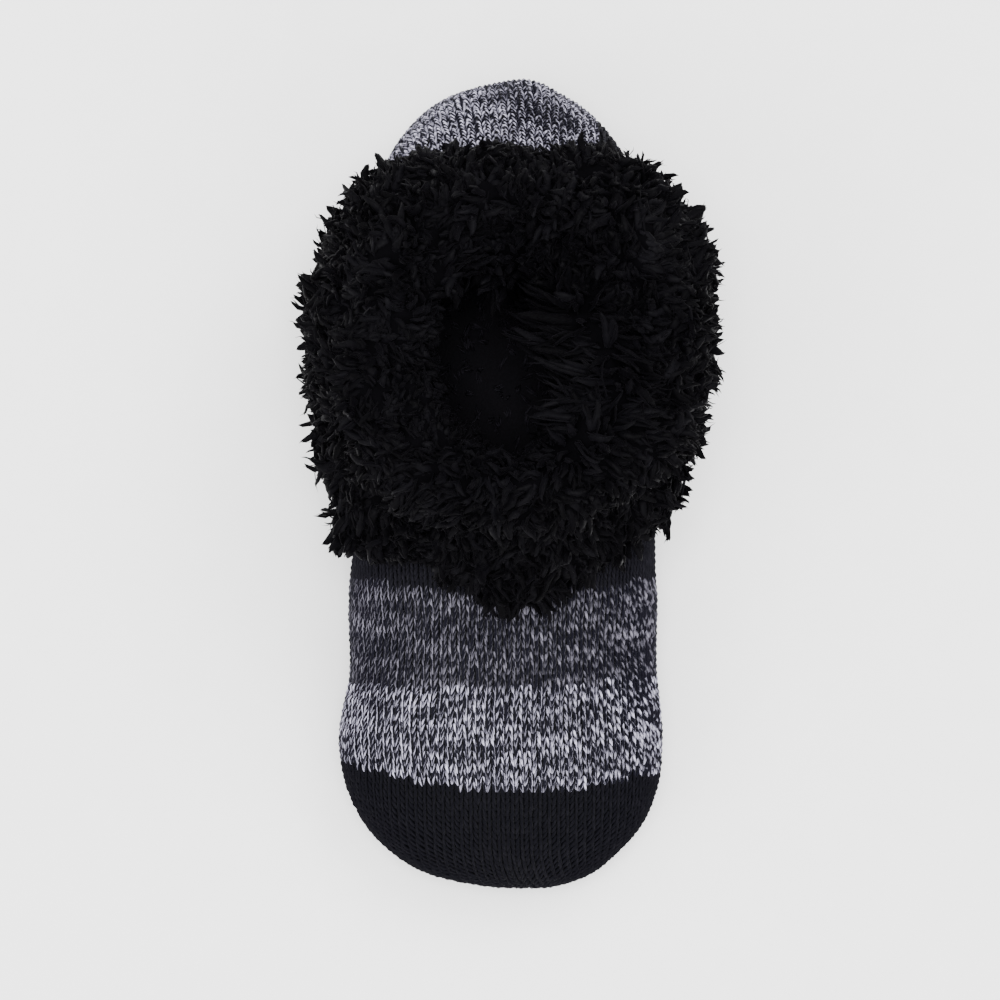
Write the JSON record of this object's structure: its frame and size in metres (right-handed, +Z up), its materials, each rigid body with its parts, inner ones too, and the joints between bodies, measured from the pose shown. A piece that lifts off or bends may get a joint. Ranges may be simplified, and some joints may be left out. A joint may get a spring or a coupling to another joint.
{
  "type": "slipper sock",
  "caption": "Low slipper sock for one foot: knitted upper, soft sewn-in sole, padded insole and a deep shaggy fleece cuff turned down round the collar.",
  "frame": {"origin": "middle of the whole sock's bounding box in plan, at the height of the floor under the sole", "axes": "+Y along the foot from toe to heel, so the toe points along -Y; +Z up; +X to the right of someone who looks down on it with the toe towards them"},
  "size_m": [0.1254, 0.25, 0.1096],
  "materials": {
    "knit": "chunky stocking-stitch knit in marled black and grey bands",
    "sole_knit": "dense dark knit with small rubbery grip dots",
    "insole_fleece": "short dark pile",
    "cuff_fleece": "long shaggy near-black fleece with a dull purple-grey sheen"
  },
  "bodies": {
    "root": {"upper": "knit", "sole": "sole_knit", "insole": "insole_fleece", "cuff": "cuff_fleece"}
  },
  "joints": []
}
